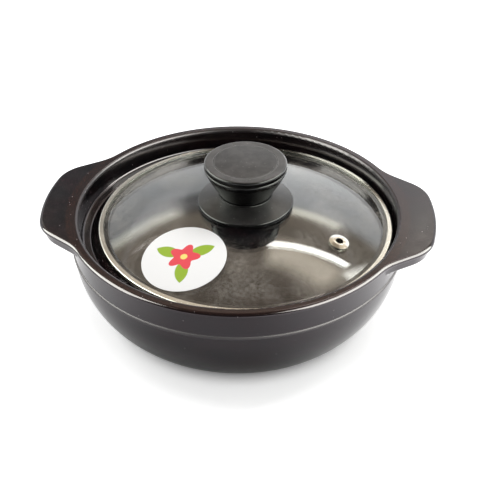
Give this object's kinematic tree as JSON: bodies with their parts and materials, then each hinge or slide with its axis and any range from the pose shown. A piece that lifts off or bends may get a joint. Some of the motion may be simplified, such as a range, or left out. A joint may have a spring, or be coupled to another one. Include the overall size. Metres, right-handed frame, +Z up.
{
  "type": "clay casserole with glass lid",
  "caption": "Shallow glazed clay casserole with flat lug handles at the rim, a recessed ledge and a domed glass lid with steel band, steam vent and mushroom knob.",
  "frame": {"origin": "on the floor, under the middle of the pot", "axes": "+Z up, X through the two lug handles"},
  "size_m": [0.2398, 0.2064, 0.1022],
  "materials": {
    "clay_glaze": "dark brown-black satin glaze, glossier on the lip",
    "lid_glass": "clear tempered glass",
    "band_steel": "polished stainless steel",
    "vent_steel": "polished stainless steel",
    "screw_steel": "plain steel",
    "insert_brass": "turned brass",
    "bakelite": "satin black phenolic moulding",
    "silicone": "matt grey silicone",
    "label_paper": "gloss-coated paper"
  },
  "bodies": {
    "pot": {"pot_body": "clay_glaze"},
    "lid": {"lid_glass": "lid_glass", "rim_band": "band_steel", "rim_sealant": "silicone", "vent_eyelet": "vent_steel", "vent_washer": "vent_steel", "knob_grip": "bakelite", "knob_cap": "bakelite", "knob_skirt": "bakelite", "knob_insert": "insert_brass", "knob_screw": "screw_steel", "screw_washer": "screw_steel", "upper_gasket": "silicone", "lower_gasket": "silicone", "lid_sticker": "label_paper"}
  },
  "joints": [
    {"name": "lid_lift", "type": "slide", "parent": "pot", "child": "lid", "axis": [0, 0, 1], "range_m": [0, 0.08]}
  ]
}
